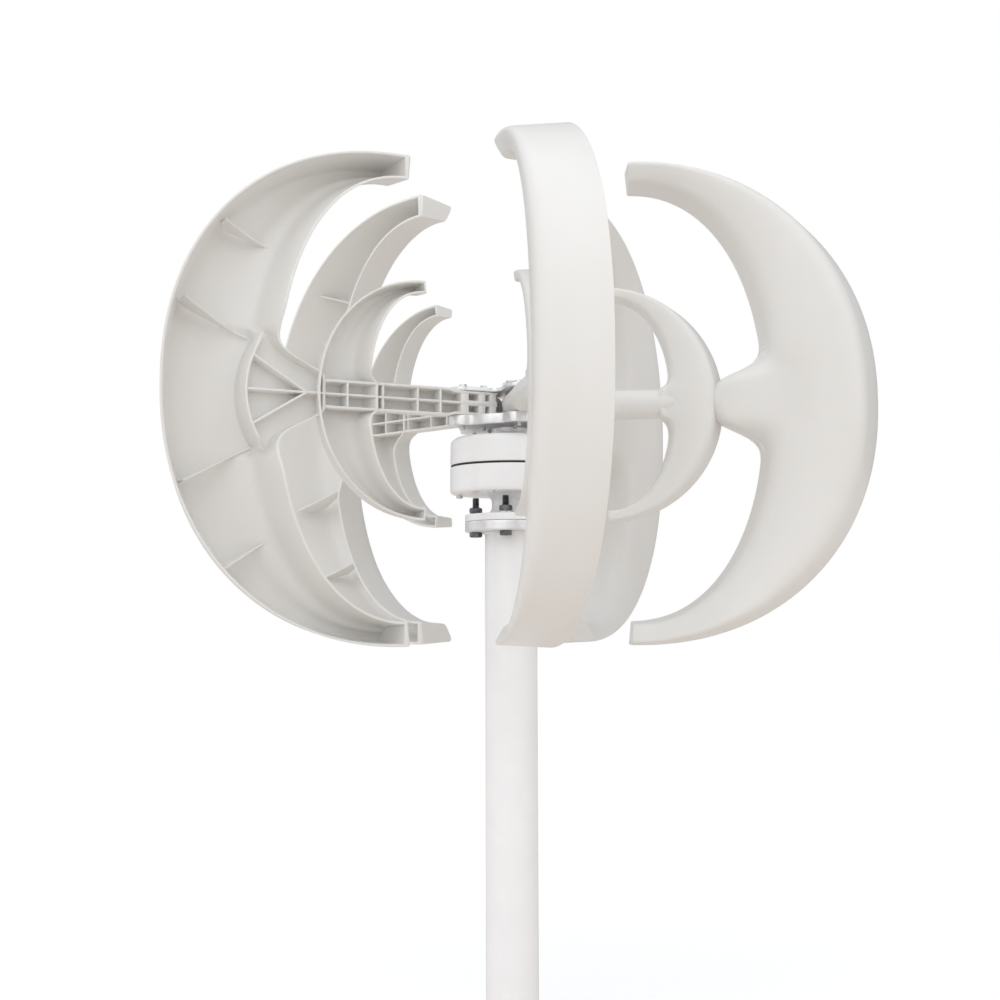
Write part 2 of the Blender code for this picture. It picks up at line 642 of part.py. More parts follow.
def arm_pockets():
    """Rectangular pockets of the trailing side in two rows between the cross
    ribs, and the two middle pockets of the fan."""
    half = ARM_OUTER_HEIGHT / 2.0
    stops = ARM_CROSS_RIBS + (STAR_R - 6.0,)
    cutters = []
    for low, high in zip(stops[:-1], stops[1:]):
        top = half if low > 80.0 else ARM_HEIGHT / 2.0
        for sign in (-1.0, 1.0):
            z_a, z_b = sorted((sign * RIB_T / 2.0, sign * (top - RIB_T)))
            cutters.append(box("cutter", (low + RIB_T / 2, -6.0, z_a),
                               (high - RIB_T / 2, ARM_HALF_DEPTH + 3.0, z_b)))
    for sign in (-1.0, 1.0):
        shape = [(STAR_R + 8.0, sign * 2.4), (FAN_R - 4.0, sign * 2.4), (309.0, sign * 29.0)]
        cutters.append(lofted("cutter", [[(r, -2.0, h) for r, h in shape],
                                         [(r, ARM_HALF_DEPTH + 3.0, h) for r, h in shape]]))
    return cutters


def gusset(spot):
    """Triangular web inside the outer crescent, tall at the outer wall and
    running out at the foot of the inner wall."""
    r_out, h_out, r_in, h_in = spot
    length = math.hypot(r_out - r_in, h_out - h_in)
    er, eh = (r_out - r_in) / length, (h_out - h_in) / length
    corners = [(length - 1.0, 8.0), (length - 5.0, -16.0), (length - 27.0, -30.0),
               (-4.0, -29.0), (2.0, -25.0)]
    loops = []
    for side in (-0.5, 0.5):
        loops.append([(r_in + er * w - eh * side * GUSSET_T, t,
                       h_in + eh * w + er * side * GUSSET_T) for w, t in corners])
    return lofted("gusset", loops)


def build_blades():
    body = build_crescent("blade_1", OUTER, WALL_T, "blade_plastic")
    small = build_crescent("small", INNER, WALL_T - 0.6)
    for spot in GUSSETS:
        join(body, gusset(spot))
    arm = arm_body()
    cut(small, box("cutter", (150.0, -9.0, -ARM_OUTER_HEIGHT / 2 + RIB_T),
                   (260.0, 40.0, ARM_OUTER_HEIGHT / 2 - RIB_T)))
    join(body, small)
    for pocket in arm_pockets():
        cut(arm, pocket)
    join(body, arm)
    for radius in HUB_BOLT_RADII:
        cut(body, lofted("cutter", [circle(HUB_BOLT_R + 0.5, -20.0, 8, (radius, 0.0)),
                                    circle(HUB_BOLT_R + 0.5, 20.0, 8, (radius, 0.0))]))
    tidy_mesh(body, 40.0)
    source = body.data.copy()
    for lobe in range(LOBE_COUNT):
        name = "blade_%d" % (lobe + 1)
        if lobe:
            mesh = source.copy()
            mesh.name = name
            obj = bpy.data.objects.new(name, mesh)
            bpy.context.scene.collection.objects.link(obj)
            mesh.materials.clear()
            color, metallic, roughness = FINISHES["blade_plastic"]
            mesh.materials.append(make_material(name, color, metallic, roughness))
        else:
            obj = body
        turn = math.radians(FIRST_BLADE_DEG - 90.0 + 72.0 * lobe)
        place = Matrix.Translation((0.0, 0.0, ROTOR_Z * MM)) @ Matrix.Rotation(turn, 4, "Z")
        obj.data.transform(place)
    bpy.data.meshes.remove(source)


def main():
    for obj in list(bpy.data.objects):
        bpy.data.objects.remove(obj)
    build_mast()
    build_flange_bolts()
    build_lower_housing()
    build_upper_housing()
    build_generator_details()
    build_shaft()
    build_hub()
    build_blades()


main()
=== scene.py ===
"""Looks of a lantern-type vertical axis wind turbine: five moulded plastic blades
in an aluminium hub on a small generator, flanged to a white tubular mast.

Every new surface is computed with numpy over a grid of two parameters.  Sizes
are in millimetres until grid_object turns them into metres.  On a blade, r is
the radius from the rotor axis, t points to the trailing side and h is the
height above the arm.
"""
import json
import math

import bpy
import bmesh
import numpy as np
from mathutils import Matrix, Vector


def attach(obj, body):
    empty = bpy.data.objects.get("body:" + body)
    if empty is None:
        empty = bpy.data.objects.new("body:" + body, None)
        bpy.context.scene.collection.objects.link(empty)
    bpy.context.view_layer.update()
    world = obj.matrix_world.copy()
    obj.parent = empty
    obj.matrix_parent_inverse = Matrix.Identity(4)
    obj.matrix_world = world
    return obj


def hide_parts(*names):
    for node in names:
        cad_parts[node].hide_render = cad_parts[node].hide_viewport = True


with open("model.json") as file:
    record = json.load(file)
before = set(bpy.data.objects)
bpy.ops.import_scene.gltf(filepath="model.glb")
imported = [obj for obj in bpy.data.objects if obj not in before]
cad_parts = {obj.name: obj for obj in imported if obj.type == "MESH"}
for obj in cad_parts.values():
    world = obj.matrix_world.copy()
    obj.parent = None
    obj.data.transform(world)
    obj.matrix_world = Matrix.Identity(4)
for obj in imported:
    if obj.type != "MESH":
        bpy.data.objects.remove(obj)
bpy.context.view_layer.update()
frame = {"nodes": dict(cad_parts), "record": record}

MM = 0.001
MERGE_GAP = 0.004
GAP = 0.3                              # clearance between stacked pieces
AXIS_HOLE = 0.05                       # radius at which a turned end closes

# ------------------------------------------------------------- sizes of blades
ROTOR_Z = 707.6
FIRST_BLADE_DEG = 9.2
BLADE_COUNT = 5
LOBE_PITCH_DEG = 72.0
ARM_FACE_T = 13.8
ARM_ROOT_R, ARM_END_R = 24.0, 236.0
ARM_ROOT_HALF, ARM_HALF = 13.8, 16.0
ARM_STEP_R = (76.0, 86.0)
ARM_FLOOR_T = -5.0
ARM_CROSS_RIBS = (95.0, 123.0, 165.0, 207.0)
ROOT_BLOCKS = ((24.5, 33.5), (38.5, 47.5), (59.5, 70.0))
ROOT_PAD_END_R, ROOT_PAD_T = 69.0, 6.5
SIDE_INSET = 2.0                       # how far cross ribs stop short of the arm's sides
RIB_T = 3.0
WALL_T = 3.2
STAR_R = 254.0                         # where the fan's slanting ribs start
FAN_R = 322.0
FAN_FLOOR_T = -4.0
FAN_SAG = 20.0                         # how far the fan's curved rib bows at FAN_SAG_H
FAN_SAG_H = 61.5
FAN_RIB_H = 63.0
FAN_RIB_LOW = ((0.0, 36.0, 48.0, 54.0, 60.0, 63.0),        # lower edge t of the rib
               (-27.0, -26.0, -25.2, -24.0, -20.5, -18.5))  # at these heights
STAR_H = 37.0                          # where the fan's slanting ribs meet the curved one
FLARE_REACH = 57.0
FLARE_SPREAD = 22.6
INNER_FLARE = (13.0, 6.5)              # reach and fall-off of the inner crescent's root
FLARE_FULL = 50.0                      # flare at which the section is all arm shape
RIM_RISE_H = (96.0, 45.0)              # start height and run of the rim's rise to the arm
FAN_END_H = (70.0, 12.0)               # start height and run of the fan's floor
TIP_REACH = 0.986                      # where the hollow ends, 1 is the tip itself
SECTION_PIECES = (4, 9, 6, 9, 7, 6, 4, 4, 4, 4, 4, 6, 6, 4)  # points per corner
OUTSIDE_CORNERS = 7
RIM_EDGE, CROWN_EDGE = 0.9, 45.0       # fillets of the rims and of the crowned middle
# of two values, the first holds at the tips and the second at mid-height
OUTER = dict(arc_r=143.0, arc_h=276.0, arc_deg=91.5, in_r=136.0, in_a=154.0,
             in_h=248.0, in_pow=2.2, tip_w=28.0, rim_t=(18.0, 28.0),
             lead_t=(-42.0, -40.0), out_back=(3.0, 20.0), out_round=(9.0, 30.0),
             in_t=(-30.0, -27.0), in_back=(3.0, 14.0), in_round=(5.0, 26.0),
             out_pow=2.17, tip_slant=9.0, crown=(1.0, 5.0), wall=WALL_T)
INNER = dict(arc_r=108.5, arc_h=136.0, arc_deg=88.0, in_r=112.0, in_a=72.0,
             in_h=121.0, in_pow=2.2, tip_w=15.0, rim_t=(13.0, 22.0),
             lead_t=(-15.0, -17.0), out_back=(2.0, 9.0), out_round=(4.0, 15.0),
             in_t=(-13.0, -12.0), in_back=(2.0, 6.0), in_round=(2.0, 9.0),
             out_pow=2.05, tip_slant=3.0, crown=(0.5, 2.0), wall=2.8)
# foot (r, h), head (r, h) and crest t of each web across the outer hollow
GUSSETS = (((277.0, 159.0), (345.0, 181.5), 9.0), ((312.0, 60.0), (388.0, 94.0), 11.0),
           ((307.0, -60.0), (388.0, -101.0), 11.0), ((278.0, -156.9), (343.0, -193.0), 9.0))
GUSSET_T = 3.0
HOLLOW_CORNER = ((2.6, 9.0, 16.0, 22.0, 29.0, 40.0, 52.0),           # inwards of the arc
                 (26.0, 8.0, -11.0, -21.0, -29.0, -34.0, -35.5))     # depth t there
GUSSET_RAMP = ((14.0, 18.0, 26.0, 40.0), (-20.0, -22.5, -24.5, -26.5))  # run and t at the foot

# ------------------------------------------------- sizes of mast and generator
MAST_TOP = 560.0
MAST_R, MAST_WALL = 30.0, 3.0
FLANGE_R, FLANGE_BORE_R = 53.0, 14.0
MAST_FLANGE_Z = (562.0, 573.5)
FOOT_FLANGE_Z = (573.8, 582.0)
HOUSING_Z = (606.0, 636.3)
LID_Z = (638.7, 671.0)
HOUSING_R, HOUSING_TOP_R, CAVITY_R = 70.0, 63.0, 59.0
CAVITY_Z = (612.0, 664.0)
NECK_R = 22.0
HUB_PLATE_Z = (681.8, 693.5)
TOP_PLATE_Z = (721.7, 726.2)
LOBE_CENTRE_R, LOBE_END_R = 61.0, 15.0
LOBE_VALLEY_R, BOTTOM_VALLEY_R = 34.0, 60.0
HUB_BOLT_RADII = (35.0, 61.0)
FLANGE_BOLT_PITCH_R, FLANGE_BOLT_START_DEG = 41.0, -98.0
M8_FLATS, M8_HEAD, M8_NUT, M8_WASHER_T, M8_END_Z = 13.0, 5.3, 6.5, 1.6, 602.0
HOUSING_SCREW_PITCH_R, HOUSING_SCREW_START_DEG = 63.8, -20.0
HOUSING_SCREW_END_Z = 655.8
M5_R, M5_PITCH = 2.5, 0.8
BOSS_LOW_Z = 675.5
SHAFT_Z = (611.2, 624.0, 716.0, 738.5)  # lower end, step, thread start, upper end


# ------------------------------------------------------------ grids to meshes
def fillet_path(corners, radii, pieces, inner=2):
    """Closed path through corners [u, c, 2]; each corner becomes a quadratic
    curve that starts and ends one reach away from it on both neighbours, and
    each straight run between two curves gets `inner` points of its own."""
    before, after = np.roll(corners, 1, axis=1), np.roll(corners, -1, axis=1)
    to_a, to_b = before - corners, after - corners
    len_a = np.maximum(np.linalg.norm(to_a, axis=2), 1e-6)
    len_b = np.maximum(np.linalg.norm(to_b, axis=2), 1e-6)
    reach = np.minimum(np.minimum(radii, 0.47 * len_a), 0.47 * len_b)[..., None]
    start = corners + to_a / len_a[..., None] * reach
    end = corners + to_b / len_b[..., None] * reach
    rows = []
    for c in range(corners.shape[1]):
        for m in np.linspace(0.0, 1.0, pieces[c]):
            rows.append((1 - m) ** 2 * start[:, c] + 2 * m * (1 - m) * corners[:, c]
                        + m ** 2 * end[:, c])
        follow = start[:, (c + 1) % corners.shape[1]]
        for m in np.linspace(0.0, 1.0, inner + 2)[1:-1]:
            rows.append(end[:, c] * (1 - m) + follow * m)
    return np.stack(rows, axis=1)


def grid_faces(n_u, n_v, close_u=False):
    """Quads of a grid that is closed round v, as vertex numbers [quads, 4]."""
    last = n_u if close_u else n_u - 1
    u, v = np.meshgrid(np.arange(last), np.arange(n_v), indexing="ij")
    a, b = u * n_v, ((u + 1) % n_u) * n_v
    w = (v + 1) % n_v
    return np.stack([a + v, a + w, b + w, b + v], axis=-1).reshape(-1, 4)


def shell(grid, close_u=False):
    """One closed part: its points [n, 3], its quads and its flat end caps."""
    n_u, n_v = grid.shape[:2]
    ends = [] if close_u else [np.arange(n_v)[::-1], np.arange((n_u - 1) * n_v, n_u * n_v)]
    return grid.reshape(-1, 3), grid_faces(n_u, n_v, close_u), ends


def grid_object(name, parts, material, place=None, sharp_deg=38.0):
    """One mesh object from closed parts, in metres, normals facing outward."""
    points, faces, offset = [], [], 0
    for part_points, quads, ends in parts:
        points.append(part_points)
        faces += (quads + offset).tolist() + [(end + offset).tolist() for end in ends]
        offset += len(part_points)
    points = np.concatenate(points) * MM
    if place is not None:
        turn = np.array(place)
        points = points @ turn[:3, :3].T + turn[:3, 3]
    mesh = bpy.data.meshes.new(name)
    mesh.from_pydata(points.tolist(), [], faces)
    bm = bmesh.new()
    bm.from_mesh(mesh)
    bmesh.ops.remove_doubles(bm, verts=bm.verts[:], dist=MERGE_GAP * MM)
    bmesh.ops.dissolve_degenerate(bm, edges=bm.edges[:], dist=MERGE_GAP * MM)
    bmesh.ops.recalc_face_normals(bm, faces=bm.faces[:])
    bm.to_mesh(mesh)
    bm.free()
    mesh.polygons.foreach_set("use_smooth", np.ones(len(mesh.polygons), bool))
    mesh.set_sharp_from_angle(angle=math.radians(sharp_deg))
    mesh.materials.append(material)
    obj = bpy.data.objects.new(name, mesh)
    bpy.context.scene.collection.objects.link(obj)
    return obj


def settle(obj, body, slot, *nodes):
    """Ride a body and stand for its CAD nodes; the slot argument is not used."""
    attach(obj, body)
    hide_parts(*nodes)
    return obj


def stand_in(name, parts, slot, body, node, place=None):
    """Finished piece from closed parts that stands for one CAD node."""
    return settle(grid_object(name, parts, FINISHES[slot], place), body, slot, node)


def smooth_step(x):
    """3 x^2 - 2 x^3 between 0 and 1, flat outside."""
    x = np.clip(x, 0.0, 1.0)
    return x * x * (3.0 - 2.0 * x)


def lathe(profile, radii, count=96, centre=(0.0, 0.0), pieces=4, inner=1):
    """Profile of (r, z) corners, filleted, turned round the Z axis."""
    corners = np.array(profile, float)[None]
    path = fillet_path(corners, np.broadcast_to(np.array(radii, float), corners.shape[:2]),
                       [pieces] * corners.shape[1], inner)[0]
    angle = np.linspace(0.0, 2.0 * np.pi, count, endpoint=False)[:, None]
    r, z = path[None, :, 0], path[None, :, 1]
    grid = np.stack([centre[0] + r * np.cos(angle), centre[1] + r * np.sin(angle),
                     z + 0.0 * angle], axis=-1)
    return shell(grid, close_u=True)


def polar(radius, degrees):
    """Plan position; the angle runs from the -Y direction towards +X."""
    a = math.radians(degrees)
    return radius * math.sin(a), -radius * math.cos(a)


# ------------------------------------------------------------------ materials
def new_material(name, roughness, metallic, bump, bump_scale):
    """Principled shader with a fine bump of fractal noise."""
    mat = bpy.data.materials.new(name)
    mat.use_nodes = True
    tree = mat.node_tree
    shader = tree.nodes["Principled BSDF"]
    shader.inputs["Roughness"].default_value = roughness
    shader.inputs["Metallic"].default_value = metallic
    coords = tree.nodes.new("ShaderNodeTexCoord")
    noise = tree.nodes.new("ShaderNodeTexNoise")
    noise.inputs["Scale"].default_value = bump_scale
    noise.inputs["Detail"].default_value = 4.0
    tree.links.new(coords.outputs["Object"], noise.inputs["Vector"])
    relief = tree.nodes.new("ShaderNodeBump")
    relief.inputs["Strength"].default_value = bump
    relief.inputs["Distance"].default_value = 0.0004
    tree.links.new(noise.outputs["Fac"], relief.inputs["Height"])
    tree.links.new(relief.outputs["Normal"], shader.inputs["Normal"])
    return mat, tree, shader, coords


def mottle(tree, shader, coords, low, high, scale, stretch=(1.0, 1.0, 1.0), detail=3.0):
    """Base colour that drifts between two close tones over soft noise."""
    mapping = tree.nodes.new("ShaderNodeMapping")
    mapping.inputs["Scale"].default_value = stretch
    noise = tree.nodes.new("ShaderNodeTexNoise")
    noise.inputs["Scale"].default_value = scale
    noise.inputs["Detail"].default_value = detail
    ramp = tree.nodes.new("ShaderNodeValToRGB")
    ramp.color_ramp.elements[0].position = 0.3
    ramp.color_ramp.elements[1].position = 0.7
    ramp.color_ramp.elements[0].color = (*low, 1.0)
    ramp.color_ramp.elements[1].color = (*high, 1.0)
    tree.links.new(coords.outputs["Object"], mapping.inputs["Vector"])
    tree.links.new(mapping.outputs["Vector"], noise.inputs["Vector"])
    tree.links.new(noise.outputs["Fac"], ramp.inputs["Fac"])
    tree.links.new(ramp.outputs["Color"], shader.inputs["Base Color"])
    return ramp


def blade_plastic():
    """Gloss moulded plastic, warm white with faint flow clouds."""
    mat, tree, shader, coords = new_material("warm_white_plastic", 0.33, 0.0, 0.10, 260.0)
    mottle(tree, shader, coords, (0.815, 0.802, 0.775), (0.870, 0.860, 0.838), 7.0,
           (1.0, 1.0, 0.45))
    shader.inputs["Coat Weight"].default_value = 0.25
    shader.inputs["Coat Roughness"].default_value = 0.22
    shader.inputs["Subsurface Weight"].default_value = 0.06
    shader.inputs["Subsurface Radius"].default_value = (1.0, 0.8, 0.6)
    shader.inputs["Subsurface Scale"].default_value = 0.003
    return mat


def powder_coat():
    """Semi-gloss white powder coat with orange peel."""
    mat, tree, shader, coords = new_material("white_powder_coat", 0.30, 0.0, 0.16, 900.0)
    mottle(tree, shader, coords, (0.912, 0.912, 0.918), (0.952, 0.952, 0.957), 22.0)
    shader.inputs["Coat Weight"].default_value = 0.35
    shader.inputs["Coat Roughness"].default_value = 0.08
    return mat


def metal(name, low, high, roughness, bump, bump_scale, tone_scale, stretch=(1, 1, 1)):
    """Bare or plated metal whose tone drifts with its grain."""
    mat, tree, shader, coords = new_material(name, roughness, 1.0, bump, bump_scale)
    mottle(tree, shader, coords, low, high, tone_scale, stretch)
    return mat


def rubber():
    """Matt black moulded rubber."""
    mat, tree, shader, coords = new_material("matt_rubber", 0.65, 0.0, 0.2, 1400.0)
    mottle(tree, shader, coords, (0.018, 0.018, 0.019), (0.034, 0.034, 0.035), 90.0)
    return mat


FINISHES = {
    "blade_plastic": blade_plastic(),
    "white_paint": powder_coat(),
    "cast_aluminium": metal("cast_aluminium_skin", (0.80, 0.80, 0.81), (0.90, 0.90, 0.905),
                            0.38, 0.30, 700.0, 120.0),
    "zinc_steel": metal("bright_zinc", (0.66, 0.665, 0.67), (0.80, 0.80, 0.80),
                        0.24, 0.12, 900.0, 260.0),
    "dark_steel": metal("blackened_steel", (0.10, 0.10, 0.105), (0.20, 0.20, 0.21),
                        0.30, 0.20, 900.0, 240.0),
    "bearing_steel": metal("ground_steel", (0.60, 0.61, 0.63), (0.70, 0.71, 0.73),
                           0.16, 0.06, 1200.0, 150.0, (1, 1, 9)),
    "black_rubber": rubber(),
    "copper_winding": metal("varnished_copper", (0.55, 0.22, 0.08), (0.75, 0.36, 0.17),
                            0.34, 0.45, 500.0, 200.0, (1, 1, 14)),
    "laminated_steel": metal("core_sheet", (0.24, 0.24, 0.25), (0.38, 0.38, 0.39),
                             0.5, 0.35, 500.0, 90.0, (1, 1, 30)),
    "magnet": metal("nickel_plate", (0.48, 0.47, 0.45), (0.60, 0.59, 0.56),
                    0.22, 0.08, 900.0, 120.0),
}


# --------------------------------------------------------------------- blades
def rail_points(spec, place):
    """Outer and inner edge (r, h) of a crescent at the places -1..1: arcs of two
    superellipses, cos and sin each raised to 2 over the power."""
    theta = place * math.radians(spec["arc_deg"])
    power = 2.0 / spec["out_pow"]
    c = np.sign(np.cos(theta)) * np.abs(np.cos(theta)) ** power
    s = np.sign(theta) * np.abs(np.sin(theta)) ** power
    outer = np.stack([spec["arc_r"] + spec["arc_h"] * c, spec["arc_h"] * s], axis=-1)
    quarter = place * np.pi / 2.0
    power = 2.0 / spec["in_pow"]
    c = np.abs(np.cos(quarter)) ** power
    s = np.sign(quarter) * np.abs(np.sin(quarter)) ** power
    inner = np.stack([spec["in_r"] + spec["in_a"] * c, spec["in_h"] * s], axis=-1)
    return outer, inner


def above_arm(h):
    """Height above or below the arm's side, nought beside the arm."""
    return np.maximum(np.abs(h) - ARM_HALF, 0.0)


def flare_amount(h):
    """How far the outer crescent's inner edge reaches in towards the arm: a
    bell curve of the height above or below it."""
    rise = above_arm(h)
    return FLARE_REACH * np.exp(-(rise / FLARE_SPREAD) ** 2)


def fan_arc_r(h):
    """Radius of the curved rib that closes the fan: a parabola of the height."""
    return FAN_R - FAN_SAG * (h / FAN_SAG_H) ** 2


def mixed(spec, key, share):
    """A size of the section between its value at the tips and at mid-height."""
    low, high = spec[key]
    return low + (high - low) * share


def corner_stack(pairs, like):
    """Corners [u, c, 2] from a list of (w, t) pairs of arrays or numbers."""
    rows = [np.stack([w + 0.0 * like, t + 0.0 * like], axis=-1) for w, t in pairs]
    return np.stack(rows, axis=1)


def section_frame(spec, place, flared):
    """Inner edge (r, h), unit direction to the outer edge, width between them,
    and the share 0..1 from tip sizes to mid-height sizes."""
    outer, inner = rail_points(spec, place)
    if flared:
        inner[:, 0] -= flare_amount(inner[:, 1])
    else:
        reach, spread = INNER_FLARE
        inner[:, 0] -= reach * np.exp(-above_arm(inner[:, 1]) / spread)
    span = outer - inner
    width = np.linalg.norm(span, axis=1)
    full = spec["arc_r"] + spec["arc_h"] - spec["in_r"] - spec["in_a"]
    share = np.clip((width - spec["tip_w"]) / (full - spec["tip_w"]), 0.0, 1.0) ** 0.7
    return inner, span / width[:, None], width, share


def channel_corners(spec, inner, width, share, flared):
    """Corners (w, t) of the closed channel section and the fillet at each of
    them, w measured from the inner edge: out over the leading side from outer
    rim to inner rim, back by the hollow one wall thickness further in.  q mixes
    the inner side into the arm's round lip and knee; fan mixes the hollow's
    rounded corner into the flat floor of the fan."""
    wall = spec["wall"]
    rim, lead, in_t = (mixed(spec, k, share) for k in ("rim_t", "lead_t", "in_t"))
    back, in_back = mixed(spec, "out_back", share), mixed(spec, "in_back", share)
    height = np.abs(inner[:, 1])
    arm_t = ARM_FACE_T * np.sqrt(np.clip(1.0 - (height / ARM_HALF) ** 2, 0.0, 1.0))
    if flared:
        flare = flare_amount(inner[:, 1])
        q = smooth_step(flare / FLARE_FULL)
        low_rim = rim + (ARM_FACE_T - rim) * smooth_step((RIM_RISE_H[0] - height) / RIM_RISE_H[1])
        arc = np.maximum(wall, fan_arc_r(inner[:, 1]) - inner[:, 0])
        fan = smooth_step((FAN_END_H[0] - height) / FAN_END_H[1])
        shelf = FAN_FLOOR_T
        toe = in_back + flare + 6.0 * q
        knee = (4.0 + 0.10 * flare, -17.0)
    else:
        q = smooth_step((ARM_HALF + 12.0 - height) / 14.0)
        low_rim = rim + (ARM_FACE_T - rim) * smooth_step((ARM_HALF + 26.0 - height) / 26.0)
        arc, shelf, toe, fan = wall, in_t, in_back + 4.0 * q, 0.0 * q
        knee = (5.0, -13.0)
    lip_t = -np.maximum(arm_t, 3.0)
    line_a = (in_back * 0.15, low_rim + (in_t - low_rim) * 0.15)
    line_b = (in_back * 0.35, low_rim + (in_t - low_rim) * 0.35)
    pair_a = (line_a[0] * (1 - q), line_a[1] * (1 - q) + lip_t * q)
    pair_b = (line_b[0] * (1 - q) + knee[0] * q, line_b[1] * (1 - q) + knee[1] * q)
    crown = mixed(spec, "crown", share)
    deep_out, deep_in = lead + wall, in_t + wall
    size = 15.0 * np.minimum(1.0, width / 85.0)
    fan_corners = ((wall + 0.4, shelf), (arc + 0.8, shelf), (arc + 1.2, deep_in))
    bend_corners = ((wall + 0.72 * in_back + 0.3, deep_in + size),
                    (wall + in_back + 2.0, deep_in + 0.3 * size),
                    (wall + in_back + size, deep_in - 0.5))
    hollow = [(a[0] * (1 - fan) + b[0] * fan, a[1] * (1 - fan) + b[1] * fan)
              for a, b in zip(bend_corners, fan_corners)]
    pairs = [(width, rim), (width - back, lead),
             ((width - back + toe) / 2.0, (lead + in_t) / 2.0 - crown), (toe, in_t),
             pair_b, pair_a, (0.0, low_rim), (wall, low_rim), *hollow,
             ((width - back + toe) / 2.0, (deep_out + deep_in) / 2.0 - crown),
             (width - back - wall * 1.1, deep_out), (width - wall, rim)]
    corners = corner_stack(pairs, width)
    out_round, in_round = mixed(spec, "out_round", share), mixed(spec, "in_round", share)
    edge, crowned = RIM_EDGE + 0 * width, CROWN_EDGE + 0 * width
    radii = np.stack([edge, out_round, crowned,
                      in_round + 30.0 * q, 6.0 + 22.0 * q, 2.0 + 10.0 * q, edge, edge,
                      9.0 - 8.0 * fan, 9.0 - 8.0 * fan, 9.0 - 7.0 * fan, crowned,
                      np.maximum(out_round - wall, 2.0), edge], axis=1)
    return corners, radii


def place_section(spec, place, inner, direction, path):
    """Section points (w, t) set at their edge points as (r, t, h), the tips
    leaning outwards towards the leading side."""
    w, t = path[..., 0], path[..., 1]
    lean = spec["tip_slant"] * np.abs(place)[:, None] ** 6
    lean = lean * (spec["rim_t"][0] - np.minimum(t, 18.0)) / 60.0
    return np.stack([inner[:, None, 0] + direction[:, None, 0] * w + lean, t,
                     inner[:, None, 1] + direction[:, None, 1] * w], axis=-1)


def crescent_shell(spec, flared, stations=121):
    """Channel-section crescent over (place along the arc, place round the
    section), closed at both tips by a thin end wall: the section's outside,
    carried on over the last places and drawn in a little.  A place is the sine
    of a mix of x and x cubed, which crowds sections where the arm joins."""
    x = np.linspace(-1.0, 1.0, stations)
    linear = 0.62 if flared else 0.75
    x = linear * x + (1.0 - linear) * x ** 3
    bunch = math.pi / 2.0 * 0.72
    place = TIP_REACH * np.sin(x * bunch) / math.sin(bunch)
    parts = [section_run(spec, place, flared, len(SECTION_PIECES), np.ones(stations))]
    for sign in (-1.0, 1.0):
        place = sign * np.array([TIP_REACH, 0.995, 1.0])
        parts.append(section_run(spec, place, flared, OUTSIDE_CORNERS,
                                 np.array([1.0, 0.995, 0.93])))
    return parts


def section_run(spec, place, flared, count, shrink):
    """Closed part through the first `count` section corners at each place,
    each section scaled by `shrink` about its own middle."""
    inner, direction, width, share = section_frame(spec, place, flared)
    corners, radii = channel_corners(spec, inner, width, share, flared)
    path = fillet_path(corners[:, :count], radii[:, :count], SECTION_PIECES[:count], 1)
    middle = path.mean(axis=1, keepdims=True)
    path = middle + (path - middle) * shrink[:, None, None]
    return shell(place_section(spec, place, inner, direction, path))


def rib(points, thickness, low, high, draft=0.25):
    """Standing rib along (r, h) points: at each point a closed section from
    its low to its high t, slightly thinner at its rounded top."""
    points = np.array(points, float)
    n = len(points)
    low, high = np.broadcast_to(low, n).astype(float), np.broadcast_to(high, n).astype(float)
    along = np.gradient(points, axis=0)
    along /= np.linalg.norm(along, axis=1, keepdims=True)
    side = np.stack([-along[:, 1], along[:, 0]], axis=1)
    half = thickness / 2.0
    top = half - draft
    pairs = [(-half, low), (-top, high - 0.9), (-top + 0.25, high - 0.3), (-top + 0.8, high),
             (top - 0.8, high), (top - 0.25, high - 0.3), (top, high - 0.9), (half, low)]
    rows = [np.stack([points[:, 0] + side[:, 0] * s, t + 0.0 * low,
                      points[:, 1] + side[:, 1] * s], axis=-1) for s, t in pairs]
    return shell(np.stack(rows, axis=1))


def straight(a, b, count=12):
    """Evenly spaced points from a to b."""
    m = np.linspace(0.0, 1.0, count)[:, None]
    return np.array(a) * (1 - m) + np.array(b) * m


def arm_shell():
    """Radial arm: half-ellipse leading side and a shallow trough on the
    trailing side, as one closed section carried along the radius."""
    r = np.concatenate([np.linspace(ARM_ROOT_R, ARM_STEP_R[0], 6),
                        np.linspace(ARM_STEP_R[0] + 1.0, ARM_STEP_R[1], 8),
                        np.linspace(ARM_STEP_R[1] + 4.0, ARM_END_R, 14)])
    step = smooth_step((r - ARM_STEP_R[0]) / (ARM_STEP_R[1] - ARM_STEP_R[0]))
    half = ARM_ROOT_HALF + (ARM_HALF - ARM_ROOT_HALF) * step
    sink = smooth_step((r - ARM_END_R + 5.0) / 5.0) * 0.5
    half = half - sink
    angle = np.linspace(0.0, np.pi, 25)
    rows = [(half * np.cos(a), -(ARM_FACE_T - sink) * np.sin(a)) for a in angle]
    face = ARM_FACE_T - sink
    rows += [(-half, face - 1.0), (-half + 0.3, face - 0.3), (-half + 1.0, face),
             (-half + RIB_T - 1.0, face), (-half + RIB_T - 0.3, face - 0.3),
             (-half + RIB_T, face - 1.0), (-half + RIB_T + 0.6, ARM_FLOOR_T + 1.5 + 0 * r),
             (-half + RIB_T + 2.2, ARM_FLOOR_T + 0 * r), (half - RIB_T - 2.2, ARM_FLOOR_T + 0 * r),
             (half - RIB_T - 0.6, ARM_FLOOR_T + 1.5 + 0 * r), (half - RIB_T, face - 1.0),
             (half - RIB_T + 0.3, face - 0.3), (half - RIB_T + 1.0, face),
             (half - 1.0, face), (half - 0.3, face - 0.3), (half, face - 1.0)]
    grid = np.stack([np.stack([r, t + 0 * r, h + 0 * r], axis=-1) for h, t in rows], axis=1)
    return shell(grid)


